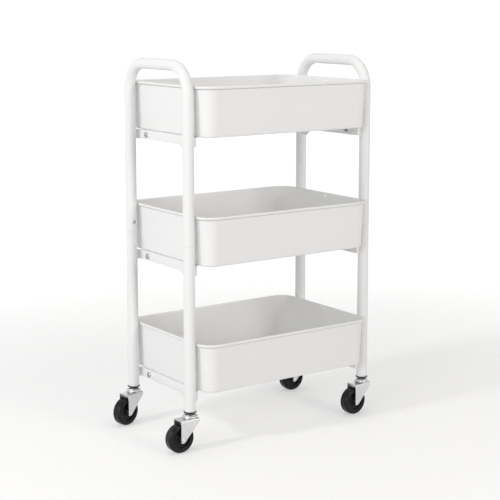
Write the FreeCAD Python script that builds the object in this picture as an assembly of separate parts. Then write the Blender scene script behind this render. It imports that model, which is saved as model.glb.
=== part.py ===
"""Three-tier rolling cart: two tube end frames, three sheet-metal trays and four swivel casters.

Units are millimetres. The origin is on the floor, midway between the four legs. +X runs along
the cart, +Y runs to its rear and +Z is up. One STEP file is written for each named piece.
"""

import FreeCAD, Part
import math
import os

V = FreeCAD.Vector
X_AXIS, Y_AXIS, Z_AXIS = V(1, 0, 0), V(0, 1, 0), V(0, 0, 1)
ORIGIN = V(0, 0, 0)

# ---- driving dimensions: end frames ----
TUBE_OD = 25.0
TUBE_WALL = 1.0
LEG_SPAN_X = 484.0            # between the leg centrelines, along the cart
LEG_SPAN_Y = 242.0            # between the leg centrelines, across the cart
LEG_BOTTOM_Z = 87.0
SEAM_Z = 451.0                # where the upper hoop stands on the lower leg
SEAM_GAP = 0.2
HOOP_TOP_Z = 833.0            # centreline of the hoop's top bar
HOOP_BEND_R = 60.0
EDGE_BREAK = 0.7              # rounding of a tube's cut end

# ---- driving dimensions: trays ----
TRAY_RIM_Z = {"bottom": 237.0, "middle": 514.5, "top": 791.0}
TRAY_HEIGHT = 108.5
TRAY_PAST_LEG = 46.0          # rolled rim beyond the leg centreline, across the cart
TRAY_CORNER_R = 38.0          # outside of the rolled rim, in plan
TRAY_TAPER = 4.8              # how far each wall leans in from rim to floor
TRAY_TO_LEG = 0.3
SHEET = 0.8
BEAD_D = 6.2
FLOOR_FILLET = 4.0
HANG_HOLE_R = 2.0
HANG_HOLE_DROP = 8.0          # below the rim, in the right end wall

# ---- driving dimensions: rails, tabs and their screws ----
RAIL_SHEET = 1.5
RAIL_PAST_LEG = 0.75          # end of the rail beyond the leg centreline
RAIL_HEIGHT = 21.0
RAIL_FOOT_REACH = 7.0         # each end is folded out this far to meet its leg
GUSSET_DROP = 14.0            # extra depth of the web beside the leg away from the screw
GUSSET_TO_LEG = 25.0          # end of the deep stretch, inside the leg centreline
GUSSET_LENGTH = 48.0
GUSSET_CURVE = 24.0           # share of that length taken by the curved start
GUSSET_SAG = 0.3              # part of the drop reached halfway along the curve
GUSSET_RETURN = 16.0          # slanted end of the gusset
RAIL_LIP_SHORT = 8.0          # the turned-in lip stops this far from the rail's ends
RAIL_FLANGE = 24.0
RAIL_TO_LEG = 0.1
RAIL_BEND_R = 2.0
TAB_WIDTH = 22.0
TAB_NOTCH_CLEAR = 4.0
TAB_DROP = 19.0
TAB_REACH = 25.0
TAB_TO_RAIL = 0.2
SCREW_R = 2.5
SCREW_HOLE_CLEAR = 0.1
SCREW_HEAD_R = 6.4
SCREW_HEAD_H = 3.4
SCREW_LENGTH = 12.0
SCREW_TO_LEG = 38.0           # screw axis inside the leg centreline
SCREW_DROP = 11.0             # screw axis below the tray's underside
RECESS_W = 1.1
RECESS_L = 6.4
RECESS_DEPTH = 1.4
NUT_ACROSS_FLATS = 8.0
NUT_H = 4.0

# ---- driving dimensions: leg joints ----
SLEEVE_CLEAR = 0.1
SLEEVE_WALL = 1.5
SLEEVE_HALF = 40.0
JOINT_SCREW_RISE = 22.0       # above the seam
JOINT_SCREW_R = 2.0
JOINT_HEAD_R = 4.0
JOINT_HEAD_H = 2.2
JOINT_SCREW_LENGTH = 7.0

# ---- driving dimensions: casters, drawn trailing towards -X from their swivel axis ----
WHEEL_R = 31.5
TYRE_HALF_W = 11.5
TYRE_SHOULDER_R = 5.0
TYRE_THICK = 8.5
HUB_RIM_HALF_W = 10.0
HUB_WEB_HALF_W = 4.5
HUB_BOSS_R = 8.5
BOND_GAP = 0.05
TRAIL = 27.5
AXLE_R = 4.0
AXLE_HEAD_R = 4.8
AXLE_HEAD_H = 1.6
RUN_CLEAR = 0.05              # radial clearance of every shaft in its hole
SIDE_CLEAR = 0.5              # hub to fork, each side
FORK_SHEET = 2.0
FORK_HALF_W = 15.5
FORK_TOP_Z = 73.0
FORK_FRONT = 14.5             # ahead of the swivel axis
FORK_BACK = 32.0              # behind the swivel axis
FORK_FRONT_EDGE_Z = 66.0      # where the slanted front edge starts
FORK_EAR_R = 8.5
FORK_BEND_R = 3.0
RACE_RISE = 2.6               # raised race above the fork's top plate
RACE_BASE_R = 15.2
RACE_TOP_R = 13.6
BALL_R = 1.75
BALL_COUNT = 12
BALL_RING_R = 10.5
BALL_CLEAR = 0.1
RACE_TO_CAP = 1.6
CAP_R = 16.6
CAP_LIP = 0.9
CAP_NECK_R = 9.0
CAP_TOP_Z = 82.7
STEM_R = 5.0
STEM_HEAD_R = 9.0
STEM_HEAD_H = 3.0
STEM_HEAD_CLEAR = 0.2
STEM_TOP_Z = 119.0
PLUG_FLANGE_R = 14.5
PLUG_FLANGE_H = 4.2
PLUG_LENGTH = 34.0
PLUG_CLEAR = 0.1
SWIVEL_REST_DEG = {
    "left_front": 0.0,
    "right_front": 3.0,
    "left_rear": 14.5,
    "right_rear": 0.0,
}

# ---- derived dimensions ----
TUBE_R = TUBE_OD / 2
TUBE_BORE_R = TUBE_R - TUBE_WALL
LEG_X = LEG_SPAN_X / 2
LEG_Y = LEG_SPAN_Y / 2
SIDES = {"left": -1, "right": 1}
ENDS = {"front": -1, "rear": 1}
TRAY_HALF_X = LEG_X - TUBE_R - TRAY_TO_LEG
TRAY_HALF_Y = LEG_Y + TRAY_PAST_LEG
WALL_INSET = BEAD_D - SHEET            # outer wall face inside the rim's outside
RAIL_HALF_Y = LEG_Y + RAIL_PAST_LEG
GUSSET_END_Y = LEG_Y - GUSSET_TO_LEG
GUSSET_START_Y = GUSSET_END_Y - GUSSET_LENGTH
RAIL_FOOT_X = LEG_X - TUBE_R - RAIL_TO_LEG
RAIL_OUT_X = RAIL_FOOT_X - RAIL_FOOT_REACH
RAIL_IN_X = RAIL_OUT_X - RAIL_SHEET
SCREW_OFFSET_Y = LEG_Y - SCREW_TO_LEG
TAB_OUT_X = RAIL_IN_X - TAB_TO_RAIL
TAB_IN_X = TAB_OUT_X - RAIL_SHEET
JOINT_SCREW_Z = SEAM_Z + JOINT_SCREW_RISE
SLEEVE_R = TUBE_BORE_R - SLEEVE_CLEAR
AXLE_Z = WHEEL_R
FORK_IN_HALF_W = FORK_HALF_W - FORK_SHEET
RACE_TOP_Z = FORK_TOP_Z + RACE_RISE
CAP_UNDER_Z = RACE_TOP_Z + RACE_TO_CAP
BALL_Z = RACE_TOP_Z + RACE_TO_CAP / 2

os.makedirs("parts", exist_ok=True)


def save(name, shape):
    """Writes one piece to its own STEP file."""
    shape.exportStep("parts/" + name + ".step")


def cylinder(radius, start, end):
    """A round bar between two points."""
    along = end.sub(start)
    return Part.makeCylinder(radius, along.Length, start, along)


def box(low, high):
    """A block between two opposite corners."""
    size = high.sub(low)
    return Part.makeBox(size.x, size.y, size.z, low)


def prism(points, sweep):
    """A straight extrusion of a closed outline."""
    return Part.Face(Part.makePolygon(points + [points[0]])).extrude(sweep)


def turned(profile, base=ORIGIN, axis=Z_AXIS):
    """A solid of revolution from a list of points in the XZ or XY plane."""
    return Part.Face(Part.makePolygon(profile + [profile[0]])).revolve(base, axis, 360)


def edges_where(shape, test):
    """The edges whose midpoint passes the test."""
    return [e for e in shape.Edges if test(e.valueAt((e.FirstParameter + e.LastParameter) / 2))]


def rounded(shape, radius, test):
    """Rounds the edges whose midpoint passes the test."""
    return shape.makeFillet(radius, edges_where(shape, test))


def place(shape, at, turn_deg=0.0):
    """A copy turned about +Z and then moved."""
    copy = shape.copy()
    copy.rotate(ORIGIN, Z_AXIS, turn_deg)
    copy.translate(at)
    return copy


def group(solids):
    """Several separate solids in one node."""
    return Part.makeCompound(solids)


# ---------------------------------------------------------------- end frames


def leg_at(side, end):
    return V(SIDES[side] * LEG_X, ENDS[end] * LEG_Y, 0)


def make_lower_leg():
    tube = cylinder(TUBE_R, V(0, 0, LEG_BOTTOM_Z), V(0, 0, SEAM_Z))
    tube = tube.makeFillet(EDGE_BREAK, edges_where(tube, lambda p: abs(abs(p.x) - TUBE_R) < 0.1
                           and abs(p.z - SEAM_Z) < 0.1))
    return tube.cut(cylinder(TUBE_BORE_R, V(0, 0, LEG_BOTTOM_Z - 1), V(0, 0, SEAM_Z + 1)))


def hoop_bar(radius):
    """A bar along the hoop's centreline, in the plane x = 0."""
    low = SEAM_Z + SEAM_GAP
    bend_z = HOOP_TOP_Z - HOOP_BEND_R
    bend_y = LEG_Y - HOOP_BEND_R
    reach = HOOP_BEND_R * math.sqrt(0.5)
    path = []
    path.append(Part.makeLine(V(0, -LEG_Y, low), V(0, -LEG_Y, bend_z)))
    path.append(Part.Arc(V(0, -LEG_Y, bend_z), V(0, -bend_y - reach, bend_z + reach),
                         V(0, -bend_y, HOOP_TOP_Z)).toShape())
    path.append(Part.makeLine(V(0, -bend_y, HOOP_TOP_Z), V(0, bend_y, HOOP_TOP_Z)))
    path.append(Part.Arc(V(0, bend_y, HOOP_TOP_Z), V(0, bend_y + reach, bend_z + reach),
                         V(0, LEG_Y, bend_z)).toShape())
    path.append(Part.makeLine(V(0, LEG_Y, bend_z), V(0, LEG_Y, low)))
    ring = Part.Wire(Part.makeCircle(radius, V(0, -LEG_Y, low), Z_AXIS))
    return Part.Wire(path).makePipeShell([ring], True, False)


def make_hoop():
    tube = hoop_bar(TUBE_R).cut(hoop_bar(TUBE_BORE_R))
    for end in ENDS.values():
        start = V(0, end * (LEG_Y - TUBE_BORE_R + 2), JOINT_SCREW_Z)
        stop = V(0, end * (LEG_Y - TUBE_R - 1), JOINT_SCREW_Z)
        tube = tube.cut(cylinder(JOINT_SCREW_R + SCREW_HOLE_CLEAR, start, stop))
    return tube


def make_sleeve(end):
    low, high = SEAM_Z - SLEEVE_HALF, SEAM_Z + SLEEVE_HALF
    sleeve = cylinder(SLEEVE_R, V(0, 0, low), V(0, 0, high))
    sleeve = sleeve.cut(cylinder(SLEEVE_R - SLEEVE_WALL, V(0, 0, low - 1), V(0, 0, high + 1)))
    hole = cylinder(JOINT_SCREW_R + RUN_CLEAR, V(0, 0, JOINT_SCREW_Z),
                    V(0, -end * TUBE_R, JOINT_SCREW_Z))
    return sleeve.cut(hole)


def make_joint_screw(end):
    """Pan-head screw through the side of the leg that faces the other leg of the same frame."""
    seat = -end * (TUBE_R + 0.02)
    tip = seat + end * JOINT_SCREW_LENGTH
    face = seat - end * JOINT_HEAD_H
    shank = cylinder(JOINT_SCREW_R, V(0, seat, JOINT_SCREW_Z), V(0, tip, JOINT_SCREW_Z))
    head = cylinder(JOINT_HEAD_R, V(0, seat, JOINT_SCREW_Z), V(0, face, JOINT_SCREW_Z))
    head = rounded(head, JOINT_HEAD_H * 0.4, lambda p: abs(p.y - face) < 0.01)
    return head.fuse(shank).removeSplitter()


# ---------------------------------------------------------------- trays


def rounded_outline(half_x, half_y, corner, z):
    """A closed rectangle with rounded corners, at one height."""
    flat_x, flat_y = half_x - corner, half_y - corner
    edges = []
    for quarter in range(4):
        start_deg = 90 * quarter
        sx = 1 if quarter in (0, 3) else -1
        sy = 1 if quarter in (0, 1) else -1
        centre = V(sx * flat_x, sy * flat_y, z)
        points = []
        for part in (0, 45, 90):
            angle = math.radians(start_deg + part)
            points.append(centre.add(V(corner * math.cos(angle), corner * math.sin(angle), 0)))
        edges.append(Part.Arc(*points).toShape())
    joined = []
    for index, arc in enumerate(edges):
        following = edges[(index + 1) % 4]
        joined.append(arc)
        joined.append(Part.makeLine(arc.valueAt(arc.LastParameter),
                                    following.valueAt(following.FirstParameter)))
    return Part.Wire(joined)


def tray_body(inset, floor_z, top_z, fillet):
    """The tapered tub, inset from the outside of the rolled rim."""
    slope = TRAY_TAPER / TRAY_HEIGHT
    outlines = []
    for z in (floor_z, top_z):
        lean = inset + slope * (TRAY_HEIGHT - z)
        corner = TRAY_CORNER_R - lean
        outlines.append(rounded_outline(TRAY_HALF_X - lean, TRAY_HALF_Y - lean, corner, z))
    tub = Part.makeLoft(outlines, True, True)
    return rounded(tub, fillet, lambda p: abs(p.z - floor_z) < 0.01)


def make_rim(top_z):
    """The rolled edge: straight rods with quarter rings at the corners."""
    radius = BEAD_D / 2
    z = top_z - radius
    ring = TRAY_CORNER_R - radius
    flat_x = TRAY_HALF_X - TRAY_CORNER_R
    flat_y = TRAY_HALF_Y - TRAY_CORNER_R
    pieces = []
    for sign in (-1, 1):
        y = sign * (TRAY_HALF_Y - radius)
        x = sign * (TRAY_HALF_X - radius)
        pieces.append(cylinder(radius, V(-flat_x, y, z), V(flat_x, y, z)))
        pieces.append(cylinder(radius, V(x, -flat_y, z), V(x, flat_y, z)))
    for quarter in range(4):
        sx = 1 if quarter in (0, 3) else -1
        sy = 1 if quarter in (0, 1) else -1
        section = Part.Face(Part.Wire(Part.makeCircle(radius, V(ring, 0, 0), Y_AXIS)))
        corner = section.revolve(ORIGIN, Z_AXIS, 90)
        pieces.append(place(corner, V(sx * flat_x, sy * flat_y, z), 90 * quarter))
    return pieces


def make_tray():
    """A tray standing on z = 0."""
    wall_top = TRAY_HEIGHT - BEAD_D / 2
    outer = tray_body(WALL_INSET, 0, wall_top, FLOOR_FILLET)
    inner = tray_body(WALL_INSET + SHEET, SHEET, wall_top + 1, FLOOR_FILLET - SHEET)
    tray = outer.cut(inner)
    tray = tray.fuse(make_rim(TRAY_HEIGHT)).removeSplitter()
    hole_z = TRAY_HEIGHT - HANG_HOLE_DROP
    hole = cylinder(HANG_HOLE_R, V(TRAY_HALF_X - 12, 0, hole_z), V(TRAY_HALF_X, 0, hole_z))
    return tray.cut(hole)


# ---------------------------------------------------------------- rails, tabs and screws
# Each is drawn for the right side with the tray's underside at z = 0. The left side is the
# same piece turned half a turn, which puts its screw towards the rear.


def make_rail():
    """A pressed angle: a web with the screw, a gusset beside one leg and a folded foot at each end."""
    low_z = -RAIL_HEIGHT
    deep_z = low_z - GUSSET_DROP
    x = RAIL_IN_X - 1
    curve_end_y = GUSSET_START_Y + GUSSET_CURVE
    corners = [V(x, curve_end_y, deep_z), V(x, GUSSET_END_Y, deep_z),
               V(x, GUSSET_END_Y + GUSSET_RETURN, low_z), V(x, RAIL_HALF_Y, low_z),
               V(x, RAIL_HALF_Y, 0), V(x, -RAIL_HALF_Y, 0), V(x, -RAIL_HALF_Y, low_z),
               V(x, GUSSET_START_Y, low_z)]
    edges = [Part.makeLine(start, stop) for start, stop in zip(corners, corners[1:])]
    sag = V(x, GUSSET_START_Y + GUSSET_CURVE / 2, low_z - GUSSET_DROP * GUSSET_SAG)
    edges.append(Part.Arc(corners[-1], sag, corners[0]).toShape())
    side_view = Part.Face(Part.Wire(edges)).extrude(V(RAIL_FOOT_X - RAIL_IN_X + 2, 0, 0))
    fold_y = RAIL_HALF_Y - RAIL_SHEET
    plan = [(RAIL_IN_X, -RAIL_HALF_Y), (RAIL_FOOT_X, -RAIL_HALF_Y), (RAIL_FOOT_X, -fold_y),
            (RAIL_OUT_X, -fold_y), (RAIL_OUT_X, fold_y), (RAIL_FOOT_X, fold_y),
            (RAIL_FOOT_X, RAIL_HALF_Y), (RAIL_IN_X, RAIL_HALF_Y)]
    web = prism([V(px, py, deep_z - 1) for px, py in plan], V(0, 0, 1 - deep_z))
    web = rounded(web, RAIL_BEND_R, lambda p: abs(p.x - RAIL_IN_X) < 0.01
                  and abs(abs(p.y) - RAIL_HALF_Y) < 0.01)
    lip_y = RAIL_HALF_Y - RAIL_LIP_SHORT
    lip = box(V(RAIL_OUT_X - RAIL_FLANGE, -lip_y, -RAIL_SHEET), V(RAIL_IN_X, lip_y, 0))
    rail = web.common(side_view).fuse(lip).removeSplitter()
    notch_half = TAB_WIDTH / 2 + TAB_NOTCH_CLEAR
    notch = box(V(RAIL_OUT_X - RAIL_FLANGE - 1, -SCREW_OFFSET_Y - notch_half, -RAIL_SHEET - 1),
                V(RAIL_IN_X, -SCREW_OFFSET_Y + notch_half, 1))
    hole = cylinder(SCREW_R + SCREW_HOLE_CLEAR, V(RAIL_IN_X - 1, -SCREW_OFFSET_Y, -SCREW_DROP),
                    V(RAIL_OUT_X + 1, -SCREW_OFFSET_Y, -SCREW_DROP))
    return rail.cut(notch).cut(hole)


def make_tab():
    """The angle welded under the tray floor, which the rail's screw holds."""
    low_y, high_y = -SCREW_OFFSET_Y - TAB_WIDTH / 2, -SCREW_OFFSET_Y + TAB_WIDTH / 2
    foot = box(V(TAB_OUT_X - TAB_REACH, low_y, -RAIL_SHEET), V(TAB_OUT_X, high_y, 0))
    ear = box(V(TAB_IN_X, low_y, -TAB_DROP), V(TAB_OUT_X, high_y, 0))
    tab = foot.fuse(ear).removeSplitter()
    tab = rounded(tab, RAIL_BEND_R, lambda p: abs(p.x - TAB_OUT_X) < 0.01 and abs(p.z) < 0.01)
    hole = cylinder(SCREW_R + SCREW_HOLE_CLEAR, V(TAB_IN_X - 1, -SCREW_OFFSET_Y, -SCREW_DROP),
                    V(TAB_OUT_X + 1, -SCREW_OFFSET_Y, -SCREW_DROP))
    return tab.cut(hole)


def make_tray_screw():
    at = V(RAIL_OUT_X, -SCREW_OFFSET_Y, -SCREW_DROP)
    face_x = RAIL_OUT_X + SCREW_HEAD_H
    head = cylinder(SCREW_HEAD_R, at, V(face_x, at.y, at.z))
    head = rounded(head, SCREW_HEAD_H * 0.5, lambda p: abs(p.x - face_x) < 0.01)
    screw = head.fuse(cylinder(SCREW_R, at, V(at.x - SCREW_LENGTH, at.y, at.z))).removeSplitter()
    for half_y, half_z in ((RECESS_W / 2, RECESS_L / 2), (RECESS_L / 2, RECESS_W / 2)):
        slot = box(V(face_x - RECESS_DEPTH, at.y - half_y, at.z - half_z),
                   V(face_x + 1, at.y + half_y, at.z + half_z))
        screw = screw.cut(slot)
    return screw


def make_tray_nut():
    at = V(TAB_IN_X, -SCREW_OFFSET_Y, -SCREW_DROP)
    corner_r = NUT_ACROSS_FLATS / math.sqrt(3)
    points = []
    for index in range(6):
        angle = math.radians(60 * index + 30)
        points.append(V(at.x, at.y + corner_r * math.cos(angle), at.z + corner_r * math.sin(angle)))
    nut = prism(points, V(-NUT_H, 0, 0))
    bore = cylinder(SCREW_R + RUN_CLEAR, V(at.x + 1, at.y, at.z), V(at.x - NUT_H - 1, at.y, at.z))
    return nut.cut(bore)


# ---------------------------------------------------------------- casters


def make_plug():
    top = LEG_BOTTOM_Z + PLUG_LENGTH
    low = LEG_BOTTOM_Z - PLUG_FLANGE_H
    bore = STEM_R + RUN_CLEAR
    body_r = TUBE_BORE_R - PLUG_CLEAR
    return turned([V(bore, 0, low), V(PLUG_FLANGE_R - 4.5, 0, low), V(PLUG_FLANGE_R - 1, 0, low + 2.2),
                   V(PLUG_FLANGE_R, 0, low + 3.2), V(PLUG_FLANGE_R, 0, LEG_BOTTOM_Z),
                   V(body_r, 0, LEG_BOTTOM_Z), V(body_r, 0, top), V(bore, 0, top)])


def make_stem():
    under_race = RACE_TOP_Z - FORK_SHEET
    head_top = under_race - STEM_HEAD_CLEAR
    head_low = head_top - STEM_HEAD_H
    return turned([V(0, 0, head_low), V(STEM_HEAD_R - 1.5, 0, head_low),
                   V(STEM_HEAD_R, 0, head_low + 1.2), V(STEM_HEAD_R, 0, head_top),
                   V(STEM_R, 0, head_top), V(STEM_R, 0, STEM_TOP_Z - 1.5),
                   V(STEM_R - 1.5, 0, STEM_TOP_Z), V(0, 0, STEM_TOP_Z)])


def ball_groove():
    return Part.makeTorus(BALL_RING_R, BALL_R + BALL_CLEAR, V(0, 0, BALL_Z))


def make_bearing_cap():
    """Upper race, with a lip that hangs round the fork's raised race."""
    bore = STEM_R + RUN_CLEAR
    lip_z = FORK_TOP_Z + RACE_RISE * 0.75
    cap = turned([V(bore, 0, CAP_UNDER_Z), V(CAP_R - CAP_LIP, 0, CAP_UNDER_Z),
                  V(CAP_R - CAP_LIP, 0, lip_z), V(CAP_R, 0, lip_z),
                  V(CAP_R, 0, CAP_UNDER_Z + 1.0), V(CAP_R - 2.0, 0, CAP_UNDER_Z + 2.8),
                  V(CAP_NECK_R + 1.5, 0, CAP_UNDER_Z + 3.6), V(CAP_NECK_R, 0, CAP_TOP_Z),
                  V(bore, 0, CAP_TOP_Z)])
    return cap.cut(ball_groove())


def make_balls():
    balls = []
    for index in range(BALL_COUNT):
        angle = 2 * math.pi * index / BALL_COUNT
        at = V(BALL_RING_R * math.cos(angle), BALL_RING_R * math.sin(angle), BALL_Z)
        balls.append(Part.makeSphere(BALL_R, at))
    return group(balls)


def tangent_point(outside, centre, radius, turn):
    """Where a line from an outside point touches a circle in the XZ plane."""
    dx, dz = outside.x - centre.x, outside.z - centre.z
    angle = math.atan2(dz, dx) + turn * math.acos(radius / math.hypot(dx, dz))
    return V(centre.x + radius * math.cos(angle), 0, centre.z + radius * math.sin(angle))


def make_fork():
    low = AXLE_Z - FORK_EAR_R - 5
    blank = box(V(-FORK_BACK, -FORK_HALF_W, low), V(FORK_FRONT, FORK_HALF_W, FORK_TOP_Z))
    blank = rounded(blank, FORK_BEND_R, lambda p: abs(p.z - FORK_TOP_Z) < 0.01
                    and abs(abs(p.y) - FORK_HALF_W) < 0.01)
    hollow_top = FORK_TOP_Z - FORK_SHEET
    hollow = box(V(-FORK_BACK - 1, -FORK_IN_HALF_W, low - 1),
                 V(FORK_FRONT + 1, FORK_IN_HALF_W, hollow_top))
    hollow = rounded(hollow, FORK_BEND_R - FORK_SHEET, lambda p: abs(p.z - hollow_top) < 0.01
                     and abs(abs(p.y) - FORK_IN_HALF_W) < 0.01)
    axle = V(-TRAIL, 0, AXLE_Z)
    back_top = V(-FORK_BACK, 0, FORK_TOP_Z)
    front_low = V(FORK_FRONT, 0, FORK_FRONT_EDGE_Z)
    front_touch = tangent_point(front_low, axle, FORK_EAR_R, -1)
    back_touch = tangent_point(back_top, axle, FORK_EAR_R, 1)
    outline = [back_top, V(FORK_FRONT, 0, FORK_TOP_Z), front_low, front_touch, axle, back_touch]
    shift = V(0, -FORK_HALF_W - 1, 0)
    sweep = V(0, 2 * FORK_HALF_W + 2, 0)
    side_view = prism([p.add(shift) for p in outline], sweep)
    side_view = side_view.fuse(cylinder(FORK_EAR_R, axle.add(shift), axle.add(shift).add(sweep)))
    fork = blank.cut(hollow).common(side_view)
    race = turned([V(0, 0, hollow_top), V(RACE_BASE_R, 0, hollow_top),
                   V(RACE_BASE_R, 0, FORK_TOP_Z), V(RACE_TOP_R, 0, RACE_TOP_Z),
                   V(0, 0, RACE_TOP_Z)])
    fork = fork.fuse(race).removeSplitter()
    under_race = RACE_TOP_Z - FORK_SHEET
    fork = fork.cut(cylinder(RACE_TOP_R - FORK_SHEET, V(0, 0, hollow_top - 1), V(0, 0, under_race)))
    fork = fork.cut(cylinder(STEM_R + RUN_CLEAR, V(0, 0, under_race - 1), V(0, 0, RACE_TOP_Z + 1)))
    fork = fork.cut(ball_groove())
    return fork.cut(cylinder(AXLE_R + RUN_CLEAR, axle.add(shift), axle.add(shift).add(sweep)))


def make_axle():
    """A rivet: shank with a domed head on each side of the fork."""
    head_out = FORK_HALF_W + AXLE_HEAD_H
    half = [V(0, head_out, 0), V(AXLE_HEAD_R - 1.4, head_out, 0),
            V(AXLE_HEAD_R, head_out - 0.9, 0), V(AXLE_HEAD_R, FORK_HALF_W, 0),
            V(AXLE_R, FORK_HALF_W, 0)]
    other = [V(p.x, -p.y, 0) for p in reversed(half)]
    return wheel_placed(turned(half + other, ORIGIN, Y_AXIS))


def wheel_placed(shape):
    shape.translate(V(-TRAIL, 0, AXLE_Z))
    return shape


def make_tyre():
    inner = WHEEL_R - TYRE_THICK
    ring = turned([V(inner, -TYRE_HALF_W, 0), V(WHEEL_R, -TYRE_HALF_W, 0),
                   V(WHEEL_R, TYRE_HALF_W, 0), V(inner, TYRE_HALF_W, 0)], ORIGIN, Y_AXIS)
    shoulders = [e for e in ring.Edges if len(e.Vertexes) == 1
                 and abs(e.Curve.Radius - WHEEL_R) < 0.01]
    return wheel_placed(ring.makeFillet(TYRE_SHOULDER_R, shoulders))


def make_hub():
    rim_r = WHEEL_R - TYRE_THICK - BOND_GAP
    boss_half = FORK_IN_HALF_W - SIDE_CLEAR
    bore = AXLE_R + RUN_CLEAR
    half = [V(bore, boss_half, 0), V(HUB_BOSS_R, boss_half, 0), V(HUB_BOSS_R, HUB_WEB_HALF_W, 0),
            V(rim_r - 2.5, HUB_WEB_HALF_W, 0), V(rim_r - 2.0, HUB_RIM_HALF_W, 0),
            V(rim_r, HUB_RIM_HALF_W, 0)]
    other = [V(p.x, -p.y, 0) for p in reversed(half)]
    return wheel_placed(turned(half + other, ORIGIN, Y_AXIS))


# ---------------------------------------------------------------- assembly

hoop = make_hoop()
lower_leg = make_lower_leg()
joint_screws = []
for side, side_sign in SIDES.items():
    save(side + "_upper_hoop", place(hoop, V(side_sign * LEG_X, 0, 0)))
    for end, end_sign in ENDS.items():
        corner = side + "_" + end
        at = leg_at(side, end)
        save(corner + "_lower_leg", place(lower_leg, at))
        save(corner + "_joint_sleeve", place(make_sleeve(end_sign), at))
        joint_screws.append(place(make_joint_screw(end_sign), at))
save("joint_screws", group(joint_screws))

tray, rail, tab = make_tray(), make_rail(), make_tab()
tray_screw, tray_nut = make_tray_screw(), make_tray_nut()
tray_screws, tray_nuts = [], []
for tier, rim_z in TRAY_RIM_Z.items():
    at = V(0, 0, rim_z - TRAY_HEIGHT)
    save(tier + "_tray", place(tray, at))
    save(tier + "_tray_tabs", group([place(tab, at), place(tab, at, 180)]))
    for side, side_sign in SIDES.items():
        turn = 0 if side_sign > 0 else 180
        save(side + "_" + tier + "_rail", place(rail, at, turn))
        tray_screws.append(place(tray_screw, at, turn))
        tray_nuts.append(place(tray_nut, at, turn))
save("tray_screws", group(tray_screws))
save("tray_nuts", group(tray_nuts))

caster = {
    "leg_plug": make_plug(),
    "caster_stem": make_stem(),
    "bearing_cap": make_bearing_cap(),
    "bearing_balls": make_balls(),
    "fork": make_fork(),
    "axle": make_axle(),
    "tyre": make_tyre(),
    "wheel_hub": make_hub(),
}
for side in SIDES:
    for end in ENDS:
        corner = side + "_" + end
        for piece, shape in caster.items():
            save(corner + "_" + piece, place(shape, leg_at(side, end), SWIVEL_REST_DEG[corner]))
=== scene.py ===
"""Dresses the rolling cart: white powder-coated frames and trays, zinc screws, chrome casters."""

import math

import bmesh
import bpy
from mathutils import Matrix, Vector


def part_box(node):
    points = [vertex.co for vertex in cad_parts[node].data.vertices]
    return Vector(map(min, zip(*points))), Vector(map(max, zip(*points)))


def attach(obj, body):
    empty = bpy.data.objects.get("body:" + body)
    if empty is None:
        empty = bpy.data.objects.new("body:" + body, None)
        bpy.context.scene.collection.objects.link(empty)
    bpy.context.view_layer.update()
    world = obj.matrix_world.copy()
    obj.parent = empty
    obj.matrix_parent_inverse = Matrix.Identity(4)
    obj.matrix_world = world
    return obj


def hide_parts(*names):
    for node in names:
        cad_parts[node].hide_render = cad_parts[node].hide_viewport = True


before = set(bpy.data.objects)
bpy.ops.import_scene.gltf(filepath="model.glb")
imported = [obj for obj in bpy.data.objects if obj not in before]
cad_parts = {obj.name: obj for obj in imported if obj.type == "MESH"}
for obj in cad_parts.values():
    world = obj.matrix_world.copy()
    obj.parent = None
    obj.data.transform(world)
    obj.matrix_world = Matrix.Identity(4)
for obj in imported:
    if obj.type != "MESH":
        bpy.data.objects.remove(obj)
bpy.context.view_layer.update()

MM = 0.001
SIDES = {"left": -1, "right": 1}
ENDS = {"front": -1, "rear": 1}
TIERS = ("bottom", "middle", "top")
CORNERS = [side + "_" + end for side in SIDES for end in ENDS]
ROOT = "cart_frame"

# Sizes in millimetres that the boxes of the CAD nodes don't tell.
TUBE_WALL = 1.0
TUBE_EDGE = 0.8
HOOP_BEND_R = 60.0
SHEET = 0.8
BEAD_D = 6.2
TRAY_CORNER_R = 38.0
TRAY_TAPER = 4.8
FLOOR_FILLET = 3.6
SEAM_Y = -12.0
RAIL_SHEET = 1.5
RAIL_HEIGHT = 21.0
RAIL_FOOT_REACH = 7.0
GUSSET = (48.0, 72.0, 96.0, 112.0)     # along the rail: start, end of the curve, lowest, back up
GUSSET_DROP = 14.0
RAIL_LIP_SHORT = 8.0
RAIL_FLANGE = 24.0
TAB_NOTCH = (68.0, 98.0)
SCREW_OFFSET_Y = 83.0
SCREW_DROP = 11.0
TRAIL = 27.5
AXLE_Z = 31.5
FORK_SHEET = 2.0
FORK_HALF_W = 15.5
FORK_TOP_Z = 73.0
FORK_FOOT_Z = 18.0
FORK_BEND_R = 3.0
FORK_FRONT = 14.5
FORK_BACK = 32.0
FORK_FRONT_EDGE_Z = 66.0
FORK_EAR_R = 8.5
SWIVEL_REST_DEG = {"left_front": 0.0, "right_front": 3.0, "left_rear": 14.5, "right_rear": 0.0}


# ------------------------------------------------------------------ modelling helpers


def only(piece):
    """Leaves one object selected and active, in object mode."""
    if bpy.context.object and bpy.context.object.mode != "OBJECT":
        bpy.ops.object.mode_set(mode="OBJECT")
    bpy.ops.object.select_all(action="DESELECT")
    piece.select_set(True)
    bpy.context.view_layer.objects.active = piece


def begin(name, primitive, **settings):
    """Adds a primitive as a new piece and opens it for editing, all selected."""
    if bpy.context.object and bpy.context.object.mode != "OBJECT":
        bpy.ops.object.mode_set(mode="OBJECT")
    bpy.ops.object.select_all(action="DESELECT")
    getattr(bpy.ops.mesh, "primitive_" + primitive + "_add")(**settings)
    piece = bpy.context.object
    piece.name = piece.data.name = name
    bpy.ops.object.transform_apply(location=True, rotation=True, scale=True)
    bpy.ops.object.mode_set(mode="EDIT")
    bpy.ops.mesh.select_mode(type="VERT")
    bpy.ops.mesh.select_all(action="SELECT")
    return piece


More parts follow.
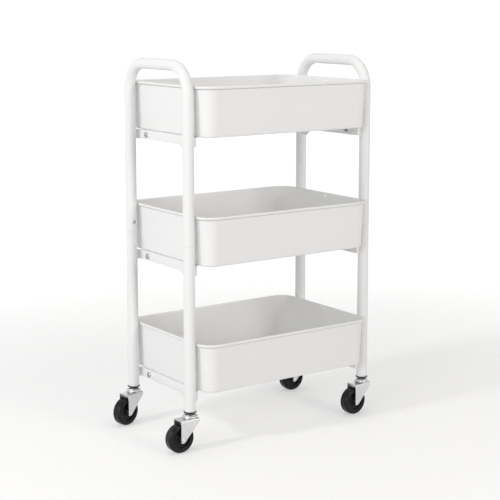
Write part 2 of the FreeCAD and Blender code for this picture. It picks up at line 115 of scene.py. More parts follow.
def pick(piece, kind, test):
    """Selects only the vertices, edges or faces that pass the test."""
    bpy.ops.mesh.select_mode(type=kind)
    bpy.ops.mesh.select_all(action="DESELECT")
    mesh = bmesh.from_edit_mesh(piece.data)
    for element in {"VERT": mesh.verts, "EDGE": mesh.edges, "FACE": mesh.faces}[kind]:
        element.select_set(bool(test(element)))
    mesh.select_flush_mode()
    bmesh.update_edit_mesh(piece.data)


def middle(edge):
    return (edge.verts[0].co + edge.verts[1].co) / 2


def extrude(move=(0, 0, 0)):
    bpy.ops.mesh.extrude_region_move(TRANSFORM_OT_translate={"value": move})


def resize(x, y, z, about=(0, 0, 0)):
    bpy.ops.transform.resize(value=(x, y, z), center_override=about)


def outward(piece):
    """Merges doubles and turns every face outwards."""
    bpy.ops.mesh.select_all(action="SELECT")
    bpy.ops.mesh.remove_doubles(threshold=1e-6)
    bpy.ops.mesh.normals_make_consistent(inside=False)
    bpy.ops.object.mode_set(mode="OBJECT")


def modify(piece, kind, **settings):
    """Adds one modifier and applies it."""
    only(piece)
    modifier = piece.modifiers.new(kind.lower(), kind)
    for key, value in settings.items():
        setattr(modifier, key, value)
    bpy.ops.object.modifier_apply(modifier=modifier.name)


def smooth(piece, degrees=35):
    only(piece)
    bpy.ops.object.shade_smooth_by_angle(angle=math.radians(degrees))


def cut(piece, tool, operation="DIFFERENCE"):
    """Cuts, joins or crosses a piece with a tool piece, which is then gone."""
    if tool.mode != "OBJECT":
        bpy.ops.object.mode_set(mode="OBJECT")
    modify(piece, "BOOLEAN", object=tool, operation=operation, solver="MANIFOLD")
    bpy.data.objects.remove(tool)


def move(piece, at=(0, 0, 0), turn_z=0.0, turn_x=0.0, turn_y=0.0):
    """Moves a piece to its place and leaves its object at the origin, unturned."""
    only(piece)
    piece.rotation_euler = (turn_x, turn_y, turn_z)
    piece.location = at
    bpy.ops.object.transform_apply(location=True, rotation=True, scale=True)


def copy_of(pattern, name, at=(0, 0, 0), turn_z=0.0):
    """A copy with its own mesh, turned about +Z and then moved."""
    piece = pattern.copy()
    piece.data = pattern.data.copy()
    piece.name = piece.data.name = name
    bpy.context.scene.collection.objects.link(piece)
    move(piece, at, turn_z)
    return piece


def joined(name, parts):
    """Several objects made one piece."""
    only(parts[0])
    for part in parts:
        part.select_set(True)
    bpy.ops.object.join()
    parts[0].name = parts[0].data.name = name
    return parts[0]


def turned_piece(name, profile, steps=48):
    """Turns (radius, height) points in millimetres about +Z, ring by ring.

    A radius of 0 at either end closes that end. Otherwise the last ring is joined to the first.
    """
    closed_start, closed_end = profile[0][0] == 0, profile[-1][0] == 0
    rings = [(r, z) for r, z in profile if r > 0]
    r0, z0 = rings[0]
    piece = begin(name, "circle", vertices=steps, radius=r0 * MM, location=(0, 0, z0 * MM))
    for r, z in rings[1:]:
        extrude((0, 0, (z - z0) * MM))
        resize(r / r0, r / r0, 1, (0, 0, z * MM))
        r0, z0 = r, z
    if closed_end:
        extrude((0, 0, (profile[-1][1] - z0) * MM))
        bpy.ops.mesh.merge(type="CENTER")
    if closed_start:
        pick(piece, "EDGE", lambda e: e.is_boundary)
        extrude((0, 0, (profile[0][1] - rings[0][1]) * MM))
        bpy.ops.mesh.merge(type="CENTER")
    if not closed_start and not closed_end:
        pick(piece, "EDGE", lambda e: e.is_boundary)
        bpy.ops.mesh.bridge_edge_loops()
    outward(piece)
    return piece


def arc(centre_r, centre_z, radius, start, stop, steps):
    """Points on an arc of a turned profile, from one angle to another in degrees."""
    points = []
    for index in range(steps + 1):
        angle = math.radians(start + (stop - start) * index / steps)
        points.append((centre_r + radius * math.cos(angle), centre_z + radius * math.sin(angle)))
    return points


# ------------------------------------------------------------------ shader helpers


class Tap:
    """One output socket, with arithmetic that adds its Math nodes."""

    def __init__(self, paint, socket):
        self.paint, self.socket = paint, socket

    def math(self, operation, first, second=0.0):
        return self.paint.node("ShaderNodeMath", {"operation": operation}, {0: first, 1: second})

    def __add__(self, other):
        return self.math("ADD", self, other)

    def __sub__(self, other):
        return self.math("SUBTRACT", self, other)

    def __rsub__(self, other):
        return self.math("SUBTRACT", other, self)

    def __mul__(self, other):
        return self.math("MULTIPLY", self, other)

    def clipped(self, low, high):
        """0 at low and 1 at high, eased between."""
        return self.paint.node("ShaderNodeMapRange", {"interpolation_type": "SMOOTHSTEP"},
                               {"Value": self, "From Min": low, "From Max": high})


class Paint:
    """A node material: one Principled shader and the nodes that feed it."""

    def __init__(self, name, **fixed):
        self.material = bpy.data.materials.new(name)
        self.material.use_nodes = True
        self.tree = self.material.node_tree
        self.shader = self.tree.nodes["Principled BSDF"]
        for socket, value in fixed.items():
            self.shader.inputs[socket.replace("_", " ")].default_value = value
        self.place = self.node("ShaderNodeTexCoord", {}, {}, "Object")

    def node(self, kind, settings, values, output=0):
        made = self.tree.nodes.new(kind)
        for key, value in settings.items():
            setattr(made, key, value)
        for key, value in values.items():
            if isinstance(value, Tap):
                self.tree.links.new(value.socket, made.inputs[key])
            else:
                made.inputs[key].default_value = value
        return Tap(self, made.outputs[output])

    def noise(self, scale, detail=2.0, roughness=0.5, stretch=None):
        """Noise from 0 to 1 with a scale in features per metre."""
        place = self.place
        if stretch:
            place = self.node("ShaderNodeMapping", {}, {"Vector": place, "Scale": stretch})
        return self.node("ShaderNodeTexNoise", {}, {"Vector": place, "Scale": scale,
                                                    "Detail": detail, "Roughness": roughness})

    def mix(self, share, first, second):
        """A colour between two colours."""
        return self.node("ShaderNodeMix", {"data_type": "RGBA"},
                         {0: share, 6: first, 7: second}, 2)

    def edges(self, width):
        """1 near a sharp edge and 0 on flat stretches."""
        bevel = self.node("ShaderNodeBevel", {"samples": 4}, {"Radius": width})
        flat = self.node("ShaderNodeNewGeometry", {}, {}, "Normal")
        along = self.node("ShaderNodeVectorMath", {"operation": "DOT_PRODUCT"},
                          {0: bevel, 1: flat}, "Value")
        return (1.0 - along).clipped(0.02, 0.22)

    def painted_rim_shade(self, heights, half_width):
        """1 on the outside of a tray, at the heights where its wall meets the rolled rim: the
        mask of the painted shade under the rim.
        """
        level = self.node("ShaderNodeSeparateXYZ", {}, {"Vector": self.place}, "Z")
        total = 0.0
        for height in heights:
            off = self.absolute(level - height)
            total = (1.0 - off.clipped(half_width * 0.4, half_width)) + total
        flat = self.node("ShaderNodeVectorMath", {"operation": "MULTIPLY"},
                         {0: self.place, 1: (1.0, 1.0, 0.0)})
        facing = self.node("ShaderNodeNewGeometry", {}, {}, "Normal")
        outside = self.node("ShaderNodeVectorMath", {"operation": "DOT_PRODUCT"},
                            {0: flat, 1: facing}, "Value")
        return total * outside.clipped(0.0, 0.02)

    def absolute(self, value):
        return value.math("ABSOLUTE", value)

    def bump(self, height, strength, distance):
        normal = self.node("ShaderNodeBump", {}, {"Height": height, "Strength": strength,
                           "Distance": distance})
        self.feed("Normal", normal)

    def feed(self, socket, value):
        self.tree.links.new(value.socket, self.shader.inputs[socket])


def grey(level, warm=0.0):
    """An opaque grey, slightly warm where asked."""
    return (level * (1 + warm), level, level * (1 - warm), 1.0)


def powder_coat(name="white_powder_coat", rim_shade_heights=()):
    """White satin powder coat: fine orange peel, faint tone drift, thinner on edges, and where
    heights are given a painted shade line under the tray rims.
    """
    paint = Paint(name, Roughness=0.4, IOR=1.47)
    drift = paint.noise(7.0, 3.0)
    grain = paint.noise(900.0, 2.0, 0.6)
    worn = paint.edges(0.0007)
    tone = paint.mix(drift, grey(0.80, 0.004), grey(0.83, 0.004))
    speck = grain.clipped(0.66, 0.8) * 0.08
    tone = paint.mix(speck, tone, grey(0.70, 0.01))
    tone = paint.mix(worn * 0.25, tone, grey(0.66, 0.01))
    # Painted shade: a thin dark band on the outer tray wall just under the rolled rim, where the
    # rim's shadow falls.
    if rim_shade_heights:
        tone = paint.mix(paint.painted_rim_shade(rim_shade_heights, 1.3 * MM) * 0.6, tone, grey(0.42, 0.01))
    paint.feed("Base Color", tone)
    paint.feed("Roughness", drift * 0.08 + grain * 0.10 + 0.46)
    peel = paint.noise(420.0, 3.0, 0.55)
    paint.bump(peel, 0.06, 0.0006)
    return paint.material


def chrome():
    """Bright plate: hairline scratches, slight haze and painted dark reflections along sharp
    edges.
    """
    paint = Paint("caster_chrome", Metallic=1.0, Roughness=0.35)
    haze = paint.noise(60.0, 4.0, 0.6)
    hair = paint.noise(260.0, 2.0, 0.5, (1.0, 1.0, 14.0))
    tone = paint.mix(haze, grey(0.58), grey(0.70))
    # Painted reflection: the base colour is darkened along sharp edges to draw dark outlines.
    paint.feed("Base Color", paint.mix(paint.edges(0.0005) * 0.6, tone, grey(0.22)))
    paint.feed("Roughness", haze * 0.14 + hair * 0.08 + 0.24)
    paint.bump(hair, 0.06, 0.0003)
    return paint.material


def zinc():
    """Dull zinc plate on the screws: soft mottling and turned grain."""
    paint = Paint("zinc_plate", Metallic=1.0, Roughness=0.35)
    mottle = paint.noise(500.0, 3.0, 0.6)
    paint.feed("Base Color", paint.mix(mottle, grey(0.36, 0.01), grey(0.52)))
    paint.feed("Roughness", mottle * 0.25 + 0.25)
    paint.bump(mottle, 0.12, 0.0002)
    return paint.material


def plain_steel():
    """Drawn steel: fine lines along the piece, oily blotches."""
    paint = Paint("plain_steel", Metallic=1.0, Roughness=0.4)
    lines = paint.noise(90.0, 3.0, 0.5, (8.0, 8.0, 0.4))
    blotch = paint.noise(30.0, 4.0)
    paint.feed("Base Color", paint.mix(blotch, grey(0.40), grey(0.58)))
    paint.feed("Roughness", lines * 0.2 + 0.3)
    paint.bump(lines, 0.1, 0.0002)
    return paint.material


def black_insert():
    """Black moulded plastic of the leg inserts: fine texture, scuffed edges."""
    paint = Paint("black_insert", Roughness=0.4)
    cloud = paint.noise(140.0, 4.0)
    rubbed = paint.edges(0.0006)
    tone = paint.mix(cloud, grey(0.008), grey(0.018))
    paint.feed("Base Color", paint.mix(rubbed * 0.5, tone, grey(0.06)))
    paint.feed("Roughness", cloud * 0.2 + 0.32)
    paint.bump(paint.noise(1500.0, 2.0), 0.12, 0.0003)
    return paint.material


def wheel_black(name, base_rough, scuffs):
    """Black wheel: glossy moulding with dust and fine scuffs where it rolls."""
    paint = Paint(name, Roughness=base_rough, Specular_IOR_Level=0.2)
    cloud = paint.noise(110.0, 4.0, 0.6)
    dust = paint.noise(420.0, 5.0, 0.7)
    tone = paint.mix(cloud, grey(0.006), grey(0.014))
    speckle = dust.clipped(0.58, 0.78) * scuffs
    paint.feed("Base Color", paint.mix(speckle, tone, grey(0.07, 0.03)))
    paint.feed("Roughness", cloud * 0.12 + speckle * 0.3 + base_rough)
    paint.bump(dust, 0.08, 0.0003)
    return paint.material


WHITE = powder_coat()
# The trays' coat carries the painted shade line under each rim, at these heights.
TRAY_WHITE = powder_coat("tray_powder_coat_painted_rim_shade", [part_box(tier + "_tray")[1][2] - (BEAD_D + 0.9) * MM
                                              for tier in TIERS])
CHROME = chrome()
ZINC = zinc()
STEEL = plain_steel()
INSERT = black_insert()
TREAD = wheel_black("wheel_tread", 0.16, 0.35)
CORE = wheel_black("wheel_core", 0.30, 0.15)


def dress(piece, material, slot, body, *replaced):
    """Gives a finished piece its material and body and hides the nodes it stands for. The finish
    slot is not used.
    """
    piece.data.materials.clear()
    piece.data.materials.append(material)
    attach(piece, body)
    if replaced:
        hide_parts(*replaced)


# ------------------------------------------------------------------ trays


def make_tray_shell():
    """A tray on z = 0: a rounded sheet inset and dropped step by step, then thickened."""
    low, high = (Vector(c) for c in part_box("top_tray"))
    half_x, half_y = (high.x - low.x) / 2 - SHEET * MM / 2, (high.y - low.y) / 2 - SHEET * MM / 2
    height = high.z - low.z
    roll = (BEAD_D - SHEET) / 2 * MM
    centre_z = height - BEAD_D / 2 * MM
    tray = begin("tray_shell", "plane", size=2, location=(0, 0, centre_z),
                 scale=(half_x, half_y, 1))
    resize(half_x, half_y, 1, (0, 0, centre_z))
    bpy.ops.mesh.bevel(affect="VERTICES", offset=(TRAY_CORNER_R - SHEET / 2) * MM, segments=14,
                       profile=0.5)
    bpy.ops.mesh.select_all(action="SELECT")
    steps = []
    for index in range(6):
        a, b = math.radians(30 * index), math.radians(30 * index + 30)
        steps.append((roll * (math.cos(a) - math.cos(b)), roll * (math.sin(b) - math.sin(a))))
    fillet = FLOOR_FILLET * MM
    wall_drop = centre_z - (SHEET / 2 + FLOOR_FILLET) * MM
    lean = TRAY_TAPER * MM * wall_drop / height
    steps.append((lean / 2, -wall_drop / 2))
    steps.append((lean / 2, -wall_drop / 2))
    for index in range(5):
        a, b = math.radians(18 * index), math.radians(18 * index + 18)
        steps.append((fillet * (math.cos(a) - math.cos(b)),
                      -fillet * (math.sin(b) - math.sin(a))))
    steps.append((20 * MM, 0))
    for inset, rise in steps:
        bpy.ops.mesh.inset(thickness=inset, depth=rise, use_boundary=True, use_even_offset=True)
    pick(tray, "EDGE", lambda e: e.is_boundary)
    for index in range(5):
        a, b = math.radians(-30 * index), math.radians(-30 * index - 30)
        extrude((0, 0, roll * (math.sin(b) - math.sin(a))))
        was, now = roll * (1 - math.cos(a)), roll * (1 - math.cos(b))
        resize((half_x - now) / (half_x - was), (half_y - now) / (half_y - was), 1)
    bpy.ops.object.mode_set(mode="OBJECT")
    modify(tray, "SOLIDIFY", thickness=SHEET * MM, offset=0.0, use_even_offset=True)
    hole = begin("hang_hole_tool", "cylinder", vertices=24, radius=2 * MM, depth=20 * MM,
                 rotation=(0, math.pi / 2, 0), location=(half_x, 0, height - 8 * MM))
    cut(tray, hole)
    wall_x = half_x - roll - lean / 2
    seam = begin("seam_tool", "cube", size=1,
                 rotation=(0, math.atan(TRAY_TAPER * MM / height), 0),
                 location=(wall_x, SEAM_Y * MM, height / 2),
                 scale=(1.7 * MM, 2.4 * MM, height * 0.84))
    cut(tray, seam, "UNION")
    smooth(tray)
    return tray


tray_shell = make_tray_shell()
for tier in TIERS:
    node = tier + "_tray"
    floor_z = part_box(node)[0][2]
    dress(copy_of(tray_shell, node + "_shell", (0, 0, floor_z)), TRAY_WHITE, "white_powder_coat",
          ROOT, node)
bpy.data.objects.remove(tray_shell)


# ------------------------------------------------------------------ tube frames


def make_hoop(side):
    """The upper hoop: a ring run up one leg, spun round each bend and run down the other leg."""
    node = side + "_upper_hoop"
    low, high = (Vector(c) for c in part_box(node))
    radius = (high.x - low.x) / 2
    x, leg_y, top_z = (high.x + low.x) / 2, high.y - radius, high.z - radius
    bend = HOOP_BEND_R * MM
    edge = TUBE_EDGE * MM
    bend_z, straight_y = top_z - bend, leg_y - bend
    hoop = begin(node + "_tube", "circle", vertices=48, radius=radius - edge,
                 location=(x, -leg_y, low.z))
    extrude((0, 0, edge))
    grow = radius / (radius - edge)
    resize(grow, grow, 1, (x, -leg_y, low.z + edge))
    extrude((0, 0, bend_z - low.z - edge))
    turn = {"steps": 18, "angle": math.pi / 2, "axis": (1, 0, 0)}
    bpy.ops.mesh.spin(center=(x, -straight_y, bend_z), **turn)
    extrude((0, 2 * straight_y, 0))
    bpy.ops.mesh.spin(center=(x, straight_y, bend_z), **turn)
    extrude((0, 0, low.z + edge - bend_z))
    extrude((0, 0, -edge))
    resize(1 / grow, 1 / grow, 1, (x, leg_y, low.z))
    outward(hoop)
    modify(hoop, "SOLIDIFY", thickness=TUBE_WALL * MM, offset=-1.0, use_even_offset=True)
    smooth(hoop)
    dress(hoop, WHITE, "white_powder_coat", ROOT, node)


def make_leg(corner):
    """A lower leg: a ring run up from the caster insert to the joint, both ends eased."""
    node = corner + "_lower_leg"
    low, high = (Vector(c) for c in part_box(node))
    radius = (high.x - low.x) / 2
    x, y = (high.x + low.x) / 2, (high.y + low.y) / 2
    edge = TUBE_EDGE * MM
    leg = begin(node + "_tube", "circle", vertices=48, radius=radius - edge,
                location=(x, y, low.z))
    grow = radius / (radius - edge)
    for rise, factor in ((edge, grow), (high.z - low.z - 2 * edge, 1.0), (edge, 1 / grow)):
        extrude((0, 0, rise))
        resize(factor, factor, 1, (x, y, 0))
    outward(leg)
    modify(leg, "SOLIDIFY", thickness=TUBE_WALL * MM, offset=-1.0, use_even_offset=True)
    smooth(leg)
    dress(leg, WHITE, "white_powder_coat", ROOT, node)


for side in SIDES:
    make_hoop(side)
for corner in CORNERS:
    make_leg(corner)


# ------------------------------------------------------------------ rails


def make_rail_bar():
    """A right-hand rail, top edge on z = 0: web, gusset, folded feet and a turned-in lip."""
    high = Vector(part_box("right_top_rail")[1])
    web_x = high.x - RAIL_FOOT_REACH * MM
    height = RAIL_HEIGHT * MM
    fold_y = high.y - RAIL_SHEET * MM
    lip_y = high.y - RAIL_LIP_SHORT * MM
    rail = begin("rail_bar", "plane", size=1, rotation=(0, math.pi / 2, 0),
                 location=(web_x, 0, -height / 2))
    resize(1, 2 * fold_y, height, (web_x, 0, -height / 2))
    start, deep, end, back = (v * MM for v in GUSSET)
    falls = [(start + (deep - start) * i / 8, 0.2 * i / 8 + 0.8 * (i / 8) ** 2) for i in range(9)]
    falls += [(end, 1.0), (back, 0.0)]
    stations = [y for y, share in falls] + [-TAB_NOTCH[1] * MM, -TAB_NOTCH[0] * MM, -lip_y, lip_y]
    for y in stations:
        bpy.ops.mesh.select_all(action="SELECT")
        bpy.ops.mesh.bisect(plane_co=(0, y, 0), plane_no=(0, 1, 0))
    for y, share in falls:
        pick(rail, "VERT", lambda v: v.co.z < -height / 2 and abs(v.co.y - y) < 1e-5)
        bpy.ops.transform.translate(value=(0, 0, -GUSSET_DROP * MM * share))
    pick(rail, "EDGE", lambda e: all(abs(abs(v.co.y) - fold_y) < 1e-5 for v in e.verts))
    extrude((RAIL_FOOT_REACH * MM, 0, 0))
    pick(rail, "EDGE", lambda e: not e.is_boundary
         and all(abs(abs(v.co.y) - fold_y) < 1e-5 and v.co.x < web_x + 1e-5 for v in e.verts))
    bpy.ops.mesh.bevel(offset=0.6 * MM, segments=3, profile=0.5)
    pick(rail, "EDGE", lambda e: all(v.co.z > -1e-5 and abs(v.co.y) < lip_y + 1e-5
                                     for v in e.verts)
         and not -TAB_NOTCH[1] * MM < middle(e).y < -TAB_NOTCH[0] * MM)
    extrude((-RAIL_FLANGE * MM, 0, 0))
    pick(rail, "VERT", lambda v: v.co.x < web_x - RAIL_FLANGE * MM + 1e-5
         and any(abs(abs(v.co.y) - y) < 1e-5
                 for y in (lip_y, TAB_NOTCH[0] * MM, TAB_NOTCH[1] * MM)))
    bpy.ops.mesh.bevel(affect="VERTICES", offset=3 * MM, segments=4, profile=0.5)
    pick(rail, "EDGE", lambda e: not e.is_boundary and all(
        v.co.z > -1e-5 and v.co.x > web_x - 1e-5 and abs(v.co.y) < lip_y + 1e-5 for v in e.verts))
    bpy.ops.mesh.bevel(offset=1.6 * MM, segments=4, profile=0.5)
    bpy.ops.object.mode_set(mode="OBJECT")
    return rail, web_x


rail_bar, RAIL_OUT_X = make_rail_bar()
modify(rail_bar, "SOLIDIFY", thickness=RAIL_SHEET * MM, offset=-1.0, use_even_offset=True)
modify(rail_bar, "BEVEL", width=0.25 * MM, segments=2, limit_method="ANGLE",
       angle_limit=math.radians(50))
hole = begin("rail_hole_tool", "cylinder", vertices=24, radius=2.6 * MM, depth=8 * MM,
             rotation=(0, math.pi / 2, 0),
             location=(RAIL_OUT_X, -SCREW_OFFSET_Y * MM, -SCREW_DROP * MM))
cut(rail_bar, hole)
smooth(rail_bar)
for side in SIDES:
    for tier in TIERS:
        node = side + "_" + tier + "_rail"
        turn = 0.0 if side == "right" else math.pi
        bar = copy_of(rail_bar, node + "_bar", (0, 0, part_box(node)[1][2]), turn)
        dress(bar, WHITE, "white_powder_coat", ROOT, node)
bpy.data.objects.remove(rail_bar)


# ------------------------------------------------------------------ screws


def make_pan_head(name, radius, height, recess, shank_r, shank_l):
    """A pan-head screw on z = 0, head up, with a cross recess."""
    profile = [(0, height)]
    profile += [(radius * 0.35, height), (radius * 0.72, height * 0.93)]
    profile += [(radius * 0.9, height * 0.72), (radius, height * 0.42), (radius, height * 0.06)]
    profile += [(radius * 0.96, 0.0), (shank_r, 0.0), (shank_r, -shank_l + 0.5)]
    profile += [(shank_r * 0.7, -shank_l), (0, -shank_l)]
    screw = turned_piece(name, profile, 32)
    for turn in (0.0, math.pi / 2):
        slot = begin("recess_tool", "cube", size=1, location=(0, 0, height * MM),
                     rotation=(0, 0, turn))
        arm = recess * 0.24
        resize(arm if turn else recess, recess if turn else arm, 1.9 * height * 0.5)
        resize(MM, MM, MM, (0, 0, height * MM))
        pick(slot, "FACE", lambda f: f.normal.z < -0.9)
        resize(0.6, 0.6, 1, (0, 0, 0))
        cut(screw, slot)
    smooth(screw, 30)
    return screw


def screw_places():
    """Where the tray screws sit: on the outside of each rail, half a turn apart."""
    for side, sign in SIDES.items():
        for tier in TIERS:
            screw_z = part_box(side + "_" + tier + "_rail")[1][2] - SCREW_DROP * MM
            yield (sign * RAIL_OUT_X, -sign * SCREW_OFFSET_Y * MM, screw_z), sign


pan_head = make_pan_head("tray_screw", radius=6.4, height=3.4, recess=6.8, shank_r=2.5,
                         shank_l=12.0)
heads = []
for place, sign in screw_places():
    head = copy_of(pan_head, "tray_screw_head")
    move(head, place, turn_y=sign * math.pi / 2)
    heads.append(head)
dress(joined("tray_pan_heads", heads), ZINC, "zinc_screws", ROOT, "tray_screws")
bpy.data.objects.remove(pan_head)

button_head = make_pan_head("joint_screw", radius=4.0, height=2.2, recess=4.2, shank_r=2.0,
                            shank_l=6.5)
heads = []
for side, x_sign in SIDES.items():
    for end, y_sign in ENDS.items():
        low, high = (Vector(c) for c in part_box(side + "_" + end + "_lower_leg"))
        centre = (low + high) / 2
        seat_y = centre.y - y_sign * ((high.y - low.y) / 2 + 0.02 * MM)
        head = copy_of(button_head, "joint_screw_head")
        move(head, (centre.x, seat_y, high.z + 22 * MM), turn_x=y_sign * math.pi / 2)
        heads.append(head)
dress(joined("joint_button_heads", heads), ZINC, "zinc_screws", ROOT, "joint_screws")
bpy.data.objects.remove(button_head)


# ------------------------------------------------------------------ casters
# Each piece is made on the swivel axis, trailing towards -X, and copied to the four legs.


def make_insert():
    """The black insert: a dished flange under the tube and a ribbed body inside it."""
    profile = [(5.1, 82.8), (9.2, 82.8), (11.0, 83.2), (13.2, 84.4), (14.2, 85.6), (14.5, 86.5)]
    profile += [(14.4, 86.85), (14.0, 87.0), (11.4, 87.0)]
    for index in range(6):
        z = 89 + 5 * index
        profile += [(11.4, z), (10.7, z + 0.5), (10.7, z + 3.5), (11.4, z + 4)]
    profile += [(11.4, 120.0), (10.5, 121.0), (5.1, 121.0)]
    return turned_piece("leg_insert", profile, 48)


def make_cap():
    """The bearing cap: a pressed dome with two rolled ridges and a thin lip."""
    profile = [(5.06, 77.2), (9.0, 77.2), (15.6, 77.2), (15.7, 76.9), (15.7, 75.1), (15.9, 75.0)]
    profile += [(16.4, 75.0), (16.6, 75.2), (16.6, 77.4)]
    profile += arc(15.2, 77.6, 1.4, 0, 75, 5)
    profile += [(14.6, 78.8), (14.2, 79.1), (13.9, 79.6)]
    profile += arc(12.6, 79.7, 1.2, 0, 80, 4)
    profile += [(11.6, 80.9), (10.6, 81.1), (9.4, 81.6), (9.0, 82.2), (8.8, 82.68), (5.06, 82.68)]
    return turned_piece("cap", profile, 64)


def make_stem():
    profile = [(0, 70.45), (7.2, 70.45), (8.4, 70.9), (9.0, 71.8), (9.0, 73.1), (8.7, 73.38)]
    profile += [(5.0, 73.4), (5.0, 96.0), (4.4, 96.5), (4.4, 98.5), (5.0, 99.0), (5.0, 117.4)]
    profile += [(3.6, 118.95), (0, 118.95)]
    return turned_piece("stem", profile, 40)


def make_ball_ring():
    """The ring of bearing balls."""
    balls = []
    for index in range(12):
        angle = 2 * math.pi * index / 12
        at = (10.5 * MM * math.cos(angle), 10.5 * MM * math.sin(angle), 76.4 * MM)
        ball = begin("ball", "ico_sphere", subdivisions=3, radius=1.74 * MM, location=at)
        bpy.ops.object.mode_set(mode="OBJECT")
        balls.append(ball)
    return joined("ball_ring", balls)


def make_fork():
    """The pressed fork: a folded blank crossed with its side view, and a raised race on top."""
    length, top = FORK_FRONT + FORK_BACK, FORK_TOP_Z
    blank = begin("fork", "cube", size=1)
    resize(length * MM, 2 * FORK_HALF_W * MM, (top - FORK_FOOT_Z) * MM)
    bpy.ops.transform.translate(
        value=((FORK_FRONT - FORK_BACK) / 2 * MM, 0, (top + FORK_FOOT_Z) / 2 * MM))
    pick(blank, "EDGE", lambda e: middle(e).z > (top - 0.1) * MM
         and abs(middle(e).y) > (FORK_HALF_W - 0.5) * MM)
    bpy.ops.mesh.bevel(offset=FORK_BEND_R * MM, segments=5, profile=0.5)
    pick(blank, "FACE", lambda f: f.normal.z < -0.9 or abs(f.normal.x) > 0.9)
    bpy.ops.mesh.delete(type="FACE")
    outward(blank)
    modify(blank, "SOLIDIFY", thickness=FORK_SHEET * MM, offset=-1.0, use_even_offset=True)
    view = begin("side_view", "cylinder", vertices=64, radius=FORK_EAR_R * MM, depth=40 * MM,
                 rotation=(math.pi / 2, 0, 0), location=(-TRAIL * MM, 0, AXLE_Z * MM))
    corners = [(-FORK_BACK, top + 1), (FORK_FRONT + 1, top + 1), (FORK_FRONT, FORK_FRONT_EDGE_Z)]
    for x, z in corners:
        bpy.ops.mesh.primitive_plane_add(size=1 * MM, location=(x * MM, 0, z * MM))
        resize(0.01, 40, 1, (x * MM, 0, z * MM))
    bpy.ops.mesh.select_all(action="SELECT")
    bpy.ops.mesh.convex_hull()
    outward(view)
    cut(blank, view, "INTERSECT")
    race = turned_piece("race", [(0, 71.5), (15.3, 71.5), (15.3, 73.0), (15.0, 73.5),
                                 (14.0, 74.9), (13.4, 75.4), (12.4, 75.6), (0, 75.6)], 64)
    cut(blank, race, "UNION")
    hollow = turned_piece("hollow", [(0, 70.0), (11.6, 70.0), (11.6, 73.2), (11.2, 73.6),
                                     (0, 73.6)], 48)
    cut(blank, hollow)
    groove = turned_piece("groove", arc(10.5, 76.4, 1.85, 180, 360, 10), 48)
    cut(blank, groove)
    bores = begin("stem_hole", "cylinder", vertices=40, radius=5.05 * MM, depth=8 * MM,
                  location=(0, 0, 75 * MM))
    cut(blank, bores)
    bores = begin("axle_hole", "cylinder", vertices=32, radius=4.05 * MM, depth=40 * MM,
                  rotation=(math.pi / 2, 0, 0), location=(-TRAIL * MM, 0, AXLE_Z * MM))
    cut(blank, bores)
    modify(blank, "BEVEL", width=0.3 * MM, segments=1, limit_method="ANGLE",
           angle_limit=math.radians(60), use_clamp_overlap=True)
    return blank


def on_axle(piece):
    """Turns a piece made about +Z onto the wheel's axle."""
    move(piece, (-TRAIL * MM, 0, AXLE_Z * MM), turn_x=math.pi / 2)
    return piece


def make_axle():
    """The rivet: a rolled head with a dimple on each side of the fork."""
    head = [(0, 16.6), (1.6, 16.65), (2.1, 16.9), (2.6, 17.1), (3.6, 17.0), (4.4, 16.5)]
    head += [(4.78, 15.9), (4.78, 15.55), (4.0, 15.5)]
    return on_axle(turned_piece("rivet", head + [(r, -z) for r, z in reversed(head)], 40))


def make_tread():
    """The tread: a crowned band with round shoulders, a mould line and stepped sides."""
    half = arc(26.4, 6.3, 5.05, 5, 88, 9) + [(25.6, 11.4), (25.2, 11.5), (24.2, 11.5)]
    half += [(23.8, 11.2), (23.6, 10.7), (23.0, 10.5)]
    crown = [(31.5, 0.25), (31.5, 3.0), (31.47, 5.4)]
    side = crown + half
    profile = [(r, -z) for r, z in reversed(side)] + [(31.42, 0.0)] + side
    return on_axle(turned_piece("tread", profile, 96))


def make_core():
    """The core: a dished disc between the hub and the rim, with a raised ring on each side."""
    side = [(22.9, 9.9), (22.5, 10.0), (21.0, 10.0), (20.6, 9.7), (20.2, 6.0), (19.6, 5.2)]
    side += [(16.6, 4.6), (16.2, 5.3), (15.2, 5.3), (14.8, 4.6), (10.6, 4.5), (9.4, 5.0)]
    side += [(8.6, 6.2), (8.4, 12.4), (8.0, 12.9), (4.6, 13.0), (4.06, 12.6)]
    profile = [(r, -z) for r, z in reversed(side)] + side
    return on_axle(turned_piece("core", profile[::-1], 72))


caster_pieces = (
    ("leg_plug", make_insert(), INSERT, "black_insert", None),
    ("caster_stem", make_stem(), CHROME, "caster_chrome", None),
    ("bearing_cap", make_cap(), CHROME, "caster_chrome", None),
    ("bearing_balls", make_ball_ring(), STEEL, "plain_steel", "swivel"),
    ("fork", make_fork(), CHROME, "caster_chrome", "swivel"),
    ("axle", make_axle(), CHROME, "caster_chrome", "swivel"),
    ("tyre", make_tread(), TREAD, "wheel_tread", "wheel"),
    ("wheel_hub", make_core(), CORE, "wheel_core", "wheel"),
)
for kind, pattern, material, slot, body in caster_pieces:
    smooth(pattern, 20 if kind == "fork" else 40)
    for corner in CORNERS:
        node = corner + "_" + kind
        low, high = (Vector(c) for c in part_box(corner + "_lower_leg"))
        at = ((low.x + high.x) / 2, (low.y + high.y) / 2, 0)
        piece = copy_of(pattern, node + "_detail", at, math.radians(SWIVEL_REST_DEG[corner]))
        dress(piece, material, slot, corner + "_" + body if body else ROOT, node)
    bpy.data.objects.remove(pattern)


# ------------------------------------------------------------------ CAD nodes that stay

for name, cad_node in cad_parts.items():
    material = None
    if name.endswith("_tray_tabs"):
        material = WHITE
    elif name == "tray_nuts":
        material = ZINC
    elif name.endswith("_joint_sleeve"):
        material = STEEL
    if material:
        for index in range(len(cad_node.material_slots)):
            cad_node.material_slots[index].material = material


# ------------------------------------------------------------------ studio


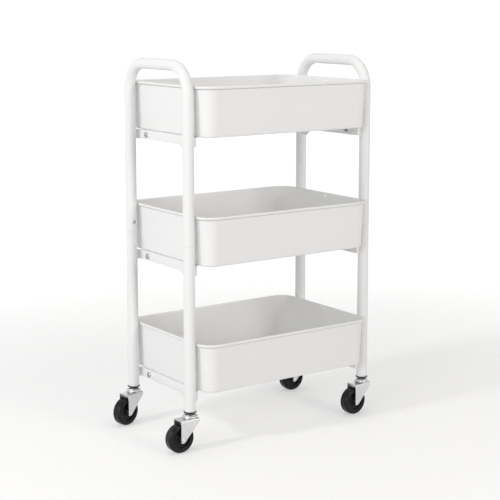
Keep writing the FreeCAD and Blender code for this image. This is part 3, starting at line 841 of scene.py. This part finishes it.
def studio_paper():
    """White paper with a faint drift in tone and a painted glow, weaker near the cart and
    stronger away from it, which lightens the cart's shadows on the floor.
    """
    paint = Paint("studio_paper", Roughness=0.9, Emission_Strength=0.7)
    drift = paint.noise(1.5, 1.0)
    paint.feed("Base Color", paint.mix(drift, grey(0.60, 0.006), grey(0.61, 0.006)))
    flat = paint.node("ShaderNodeVectorMath", {"operation": "MULTIPLY"},
                      {0: paint.place, 1: (1.0, 1.0, 0.0)})
    radius = paint.node("ShaderNodeVectorMath", {"operation": "LENGTH"}, {0: flat}, "Value")
    # Painted light: the paper glows, less near the cart and more away from it.
    paint.feed("Emission Color", paint.mix(radius.clipped(0.5, 2.6), grey(0.53), grey(1.0)))
    return paint.material


def make_studio():
    """A round floor that sweeps up into a wall on every side."""
    sweep = begin("studio_sweep", "circle", vertices=96, radius=4.3, fill_type="TRIFAN")
    pick(sweep, "EDGE", lambda e: e.is_boundary)
    rings = arc(4.3, 1.2, 1.2, -90, 0, 12) + [(5.5, 3.6)]
    for (r0, z0), (r1, z1) in zip(rings, rings[1:]):
        extrude((0, 0, z1 - z0))
        resize(r1 / r0, r1 / r0, 1)
    bpy.ops.object.mode_set(mode="OBJECT")
    smooth(sweep)
    sweep.data.materials.append(studio_paper())
    sweep.visible_diffuse = False


def area_light(name, at, aim, size, watts, tint=(1, 1, 1)):
    lamp = bpy.data.lights.new(name, "AREA")
    lamp.shape, lamp.size, lamp.energy, lamp.color = "DISK", size, watts, tint
    holder = bpy.data.objects.new(name, lamp)
    bpy.context.scene.collection.objects.link(holder)
    holder.location = at
    holder.visible_camera = False
    holder.rotation_euler = (Vector(aim) - Vector(at)).to_track_quat("-Z", "Y").to_euler()


make_studio()
area_light("key_left", (-4.6, -0.12, 3.3), (0, 0, 0.45), 0.7, 78)
area_light("side_soft", (-3.7, -1.8, 1.4), (0, 0, 0.5), 1.6, 41)
area_light("fill_front", (1.3, -4.8, 2.0), (0, 0, 0.4), 1.6, 60, (1, 0.955, 0.89))
area_light("top_soft", (0.0, 0.4, 3.4), (0, 0, 0.3), 2.4, 16)


def make_air(above, below):
    """Even light from every side, stronger from below, where white paper would send it back."""
    world = bpy.data.worlds.new("studio_air")
    world.use_nodes = True
    nodes, links = world.node_tree.nodes, world.node_tree.links
    place = nodes.new("ShaderNodeTexCoord")
    split = nodes.new("ShaderNodeSeparateXYZ")
    ramp = nodes.new("ShaderNodeMapRange")
    limits = {"From Min": -0.2, "From Max": 0.2, "To Min": below, "To Max": above}
    for socket, value in limits.items():
        ramp.inputs[socket].default_value = value
    back = nodes["Background"]
    back.inputs["Color"].default_value = (1.0, 1.0, 1.0, 1.0)
    links.new(place.outputs["Generated"], split.inputs[0])
    links.new(split.outputs["Z"], ramp.inputs["Value"])
    links.new(ramp.outputs[0], back.inputs["Strength"])
    bpy.context.scene.world = world


make_air(0.47, 0.76)
bpy.context.scene.view_settings.view_transform = "Standard"

camera_data = bpy.data.cameras.new("camera")
camera_data.lens = 94.83
camera_data.shift_y = -0.08
camera_data.sensor_width = 36.0
camera_data.clip_end = 40.0
camera = bpy.data.objects.new("camera", camera_data)
bpy.context.scene.collection.objects.link(camera)
camera.location = (-1.7252, -2.4529, 0.9569)
camera.rotation_euler = (math.radians(90 - 8.81), 0, math.radians(-35.16))
bpy.context.scene.camera = camera
